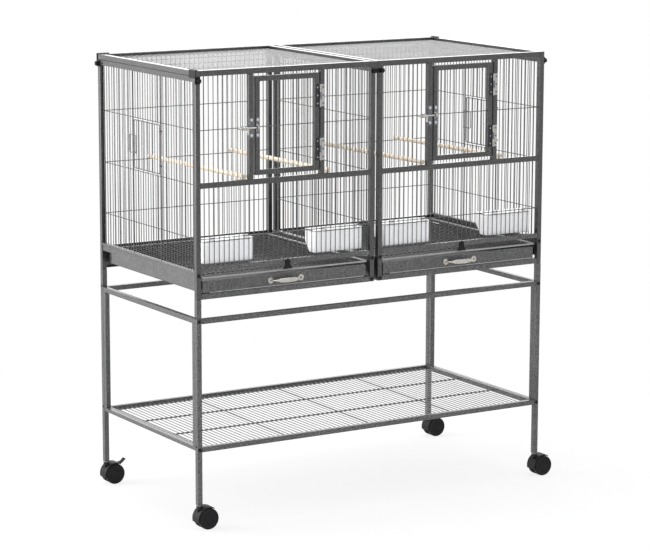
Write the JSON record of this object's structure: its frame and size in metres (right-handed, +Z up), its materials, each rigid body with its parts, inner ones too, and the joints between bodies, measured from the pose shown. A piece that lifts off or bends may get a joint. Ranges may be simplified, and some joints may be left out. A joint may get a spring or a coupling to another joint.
{
  "type": "double bird cage on a rolling stand",
  "caption": "Wire bird cage with two bays side by side, swing doors with slide bolts, pull-out trays and grates, seed cups and perches, on a caster stand with a shelf.",
  "frame": {"origin": "on the floor, under the centre of the whole object's bounding box, with all casters trailing to +X", "axes": "+X to the right seen from the front, +Y to the back, +Z up; the doors and tray handles face -Y"},
  "size_m": [1.0152, 0.5118, 1.0575],
  "materials": {
    "hammered_coat": "dark grey hammered powder coat",
    "nickel": "bright nickel plate",
    "black_plastic": "black moulded plastic",
    "white_plastic": "white moulded plastic",
    "pale_wood": "plain turned dowel"
  },
  "bodies": {
    "frame": {"stand_post_front_left": "hammered_coat", "stand_post_front_right": "hammered_coat", "stand_post_back_left": "hammered_coat", "stand_post_back_right": "hammered_coat", "side_loop_left": "hammered_coat", "side_loop_right": "hammered_coat", "front_cross_rail": "hammered_coat", "back_cross_rail": "hammered_coat", "storage_shelf": "hammered_coat", "base_frame_left": "hammered_coat", "front_panel_left": "hammered_coat", "back_panel_left": "hammered_coat", "outer_side_panel_left": "hammered_coat", "top_panel_left": "hammered_coat", "door_hinge_upper_left": "nickel", "door_hinge_lower_left": "nickel", "latch_barrel_left": "nickel", "perch_left_a": "pale_wood", "perch_left_b": "pale_wood", "base_frame_right": "hammered_coat", "front_panel_right": "hammered_coat", "back_panel_right": "hammered_coat", "outer_side_panel_right": "hammered_coat", "top_panel_right": "hammered_coat", "door_hinge_upper_right": "nickel", "door_hinge_lower_right": "nickel", "latch_barrel_right": "nickel", "perch_right_a": "pale_wood", "perch_right_b": "pale_wood", "centre_divider": "hammered_coat", "joining_clip_front": "black_plastic", "joining_clip_back": "black_plastic"},
    "caster_front_left": {"caster_hood_front_left": "black_plastic"},
    "wheels_front_left": {"caster_wheels_front_left": "black_plastic"},
    "caster_front_right": {"caster_hood_front_right": "black_plastic"},
    "wheels_front_right": {"caster_wheels_front_right": "black_plastic"},
    "caster_back_left": {"caster_hood_back_left": "black_plastic"},
    "wheels_back_left": {"caster_wheels_back_left": "black_plastic"},
    "brake_back_left": {"brake_lever_back_left": "black_plastic"},
    "caster_back_right": {"caster_hood_back_right": "black_plastic"},
    "wheels_back_right": {"caster_wheels_back_right": "black_plastic"},
    "brake_back_right": {"brake_lever_back_right": "black_plastic"},
    "door_left": {"front_door_left": "hammered_coat"},
    "bolt_left": {"latch_bolt_left": "nickel"},
    "tray_pan_left": {"tray_left": "hammered_coat", "tray_handle_left": "nickel"},
    "grate_floor_left": {"grate_left": "hammered_coat"},
    "catch_left": {"stop_catch_left": "black_plastic"},
    "nest_left": {"nest_door_left": "hammered_coat"},
    "cup_left_a": {"feeder_left_a": "white_plastic"},
    "cup_left_b": {"feeder_left_b": "white_plastic"},
    "door_right": {"front_door_right": "hammered_coat"},
    "bolt_right": {"latch_bolt_right": "nickel"},
    "tray_pan_right": {"tray_right": "hammered_coat", "tray_handle_right": "nickel"},
    "grate_floor_right": {"grate_right": "hammered_coat"},
    "catch_right": {"stop_catch_right": "black_plastic"},
    "nest_right": {"nest_door_right": "hammered_coat"},
    "cup_right_a": {"feeder_right_a": "white_plastic"},
    "cup_right_b": {"feeder_right_b": "white_plastic"}
  },
  "joints": [
    {"name": "swivel_front_left", "type": "hinge", "parent": "frame", "child": "caster_front_left", "pos_m": [-0.4921, -0.2336, 0.058], "axis": [0, 0, 1], "continuous": true},
    {"name": "roll_front_left", "type": "hinge", "parent": "caster_front_left", "child": "wheels_front_left", "pos_m": [-0.4741, -0.2336, 0.025], "axis": [0, 1, 0], "continuous": true},
    {"name": "swivel_front_right", "type": "hinge", "parent": "frame", "child": "caster_front_right", "pos_m": [0.4559, -0.2336, 0.058], "axis": [0, 0, 1], "continuous": true},
    {"name": "roll_front_right", "type": "hinge", "parent": "caster_front_right", "child": "wheels_front_right", "pos_m": [0.4739, -0.2336, 0.025], "axis": [0, 1, 0], "continuous": true},
    {"name": "swivel_back_left", "type": "hinge", "parent": "frame", "child": "caster_back_left", "pos_m": [-0.4921, 0.2394, 0.058], "axis": [0, 0, 1], "continuous": true},
    {"name": "roll_back_left", "type": "hinge", "parent": "caster_back_left", "child": "wheels_back_left", "pos_m": [-0.4741, 0.2394, 0.025], "axis": [0, 1, 0], "continuous": true},
    {"name": "brake_press_back_left", "type": "hinge", "parent": "caster_back_left", "child": "brake_back_left", "pos_m": [-0.45726, 0.2394, 0.04836], "axis": [0, 1, 0], "range_deg": [0, 22]},
    {"name": "swivel_back_right", "type": "hinge", "parent": "frame", "child": "caster_back_right", "pos_m": [0.4559, 0.2394, 0.058], "axis": [0, 0, 1], "continuous": true},
    {"name": "roll_back_right", "type": "hinge", "parent": "caster_back_right", "child": "wheels_back_right", "pos_m": [0.4739, 0.2394, 0.025], "axis": [0, 1, 0], "continuous": true},
    {"name": "brake_press_back_right", "type": "hinge", "parent": "caster_back_right", "child": "brake_back_right", "pos_m": [0.49074, 0.2394, 0.04836], "axis": [0, 1, 0], "range_deg": [0, 22]},
    {"name": "door_swing_left", "type": "hinge", "parent": "frame", "child": "door_left", "pos_m": [-0.1736, -0.2425, 0.8104], "axis": [0, 0, 1], "range_deg": [0, 150]},
    {"name": "bolt_slide_left", "type": "slide", "parent": "frame", "child": "bolt_left", "axis": [1, 0, 0], "range_m": [0, 0.0113]},
    {"name": "tray_slide_left", "type": "slide", "parent": "frame", "child": "tray_pan_left", "axis": [0, -1, 0], "range_m": [0, 0.4]},
    {"name": "grate_slide_left", "type": "slide", "parent": "frame", "child": "grate_floor_left", "axis": [0, -1, 0], "range_m": [0, 0.4]},
    {"name": "catch_turn_left", "type": "hinge", "parent": "frame", "child": "catch_left", "pos_m": [-0.2606, -0.2396, 0.60515], "axis": [0, 1, 0], "range_deg": [-90, 90]},
    {"name": "nest_swing_left", "type": "hinge", "parent": "frame", "child": "nest_left", "pos_m": [-0.4896, -0.0556, 0.7995], "axis": [0, 0, 1], "range_deg": [0, 110]},
    {"name": "cup_lift_left_a", "type": "slide", "parent": "frame", "child": "cup_left_a", "axis": [0, 0, 1], "range_m": [0, 0.04]},
    {"name": "cup_lift_left_b", "type": "slide", "parent": "frame", "child": "cup_left_b", "axis": [0, 0, 1], "range_m": [0, 0.04]},
    {"name": "door_swing_right", "type": "hinge", "parent": "frame", "child": "door_right", "pos_m": [0.3114, -0.2425, 0.8104], "axis": [0, 0, 1], "range_deg": [0, 150]},
    {"name": "bolt_slide_right", "type": "slide", "parent": "frame", "child": "bolt_right", "axis": [1, 0, 0], "range_m": [0, 0.0113]},
    {"name": "tray_slide_right", "type": "slide", "parent": "frame", "child": "tray_pan_right", "axis": [0, -1, 0], "range_m": [0, 0.4]},
    {"name": "grate_slide_right", "type": "slide", "parent": "frame", "child": "grate_floor_right", "axis": [0, -1, 0], "range_m": [0, 0.4]},
    {"name": "catch_turn_right", "type": "hinge", "parent": "frame", "child": "catch_right", "pos_m": [0.2244, -0.2396, 0.60515], "axis": [0, 1, 0], "range_deg": [-90, 90]},
    {"name": "nest_swing_right", "type": "hinge", "parent": "frame", "child": "nest_right", "pos_m": [0.4534, -0.0556, 0.7995], "axis": [0, 0, -1], "range_deg": [0, 110]},
    {"name": "cup_lift_right_a", "type": "slide", "parent": "frame", "child": "cup_right_a", "axis": [0, 0, 1], "range_m": [0, 0.04]},
    {"name": "cup_lift_right_b", "type": "slide", "parent": "frame", "child": "cup_right_b", "axis": [0, 0, 1], "range_m": [0, 0.04]}
  ]
}
